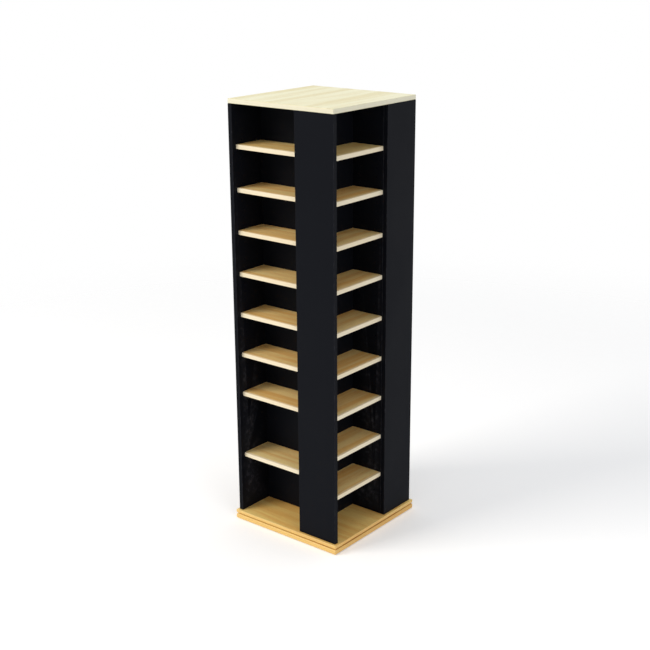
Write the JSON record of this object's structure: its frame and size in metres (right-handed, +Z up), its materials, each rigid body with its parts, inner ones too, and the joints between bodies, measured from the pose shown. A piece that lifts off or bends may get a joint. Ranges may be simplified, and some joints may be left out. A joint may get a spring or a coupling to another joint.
{
  "type": "revolving media storage tower",
  "caption": "Tall square revolving media tower: black panels in a pinwheel plan, an open bay of shelves on every face, a wood top, and a flat ball bearing between its wood base boards.",
  "frame": {"origin": "on the floor, at the middle of the base", "axes": "+Z up along the tower; -Y out of the front bay, which has the tall rows; +X out of the right bay"},
  "size_m": [0.46, 0.46, 1.5175],
  "materials": {
    "black_laminate": "black melamine laminate, satin, with a fine even grain and soft edges",
    "top_wood": "pale clear-finished birch, satin, straight grain",
    "base_wood": "warm clear-finished birch, satin, straight grain",
    "shelf_wood": "clear-finished birch shelf with a pale front edge, satin",
    "bearing_steel": "zinc-plated pressed steel",
    "ball_steel": "bright bearing steel",
    "glide_nylon": "dark moulded nylon"
  },
  "bodies": {
    "base": {"base_board": "base_wood", "bearing_lower_plate": "bearing_steel", "lower_plate_screw_1": "bearing_steel", "lower_plate_screw_2": "bearing_steel", "lower_plate_screw_3": "bearing_steel", "lower_plate_screw_4": "bearing_steel", "glide_1": "glide_nylon", "glide_2": "glide_nylon", "glide_3": "glide_nylon", "glide_4": "glide_nylon"},
    "tower": {"floor_board": "base_wood", "top_board": "top_wood", "side_panel_front": "black_laminate", "divider_front": "black_laminate", "side_panel_right": "black_laminate", "divider_right": "black_laminate", "side_panel_back": "black_laminate", "divider_back": "black_laminate", "side_panel_left": "black_laminate", "divider_left": "black_laminate", "shelf_front_1": "shelf_wood", "shelf_front_2": "shelf_wood", "shelf_front_3": "shelf_wood", "shelf_front_4": "shelf_wood", "shelf_front_5": "shelf_wood", "shelf_front_6": "shelf_wood", "shelf_front_7": "shelf_wood", "shelf_front_8": "shelf_wood", "shelf_right_1": "shelf_wood", "shelf_right_2": "shelf_wood", "shelf_right_3": "shelf_wood", "shelf_right_4": "shelf_wood", "shelf_right_5": "shelf_wood", "shelf_right_6": "shelf_wood", "shelf_right_7": "shelf_wood", "shelf_right_8": "shelf_wood", "shelf_right_9": "shelf_wood", "shelf_back_1": "shelf_wood", "shelf_back_2": "shelf_wood", "shelf_back_3": "shelf_wood", "shelf_back_4": "shelf_wood", "shelf_back_5": "shelf_wood", "shelf_back_6": "shelf_wood", "shelf_back_7": "shelf_wood", "shelf_back_8": "shelf_wood", "shelf_left_1": "shelf_wood", "shelf_left_2": "shelf_wood", "shelf_left_3": "shelf_wood", "shelf_left_4": "shelf_wood", "shelf_left_5": "shelf_wood", "shelf_left_6": "shelf_wood", "shelf_left_7": "shelf_wood", "shelf_left_8": "shelf_wood", "shelf_left_9": "shelf_wood", "bearing_upper_plate": "bearing_steel", "upper_plate_screw_1": "bearing_steel", "upper_plate_screw_2": "bearing_steel", "upper_plate_screw_3": "bearing_steel", "upper_plate_screw_4": "bearing_steel"},
    "ball_cage": {"bearing_ball_cage": "ball_steel"}
  },
  "joints": [
    {"name": "tower_spin", "type": "hinge", "parent": "base", "child": "tower", "pos_m": [0, 0, 0.0196], "axis": [0, 0, 1], "continuous": true},
    {"name": "cage_spin", "type": "hinge", "parent": "base", "child": "ball_cage", "pos_m": [0, 0, 0.0196], "axis": [0, 0, 1], "continuous": true}
  ],
  "couplings": [
    {"joint": "cage_spin", "follows": "tower_spin", "ratio": 0.5}
  ]
}
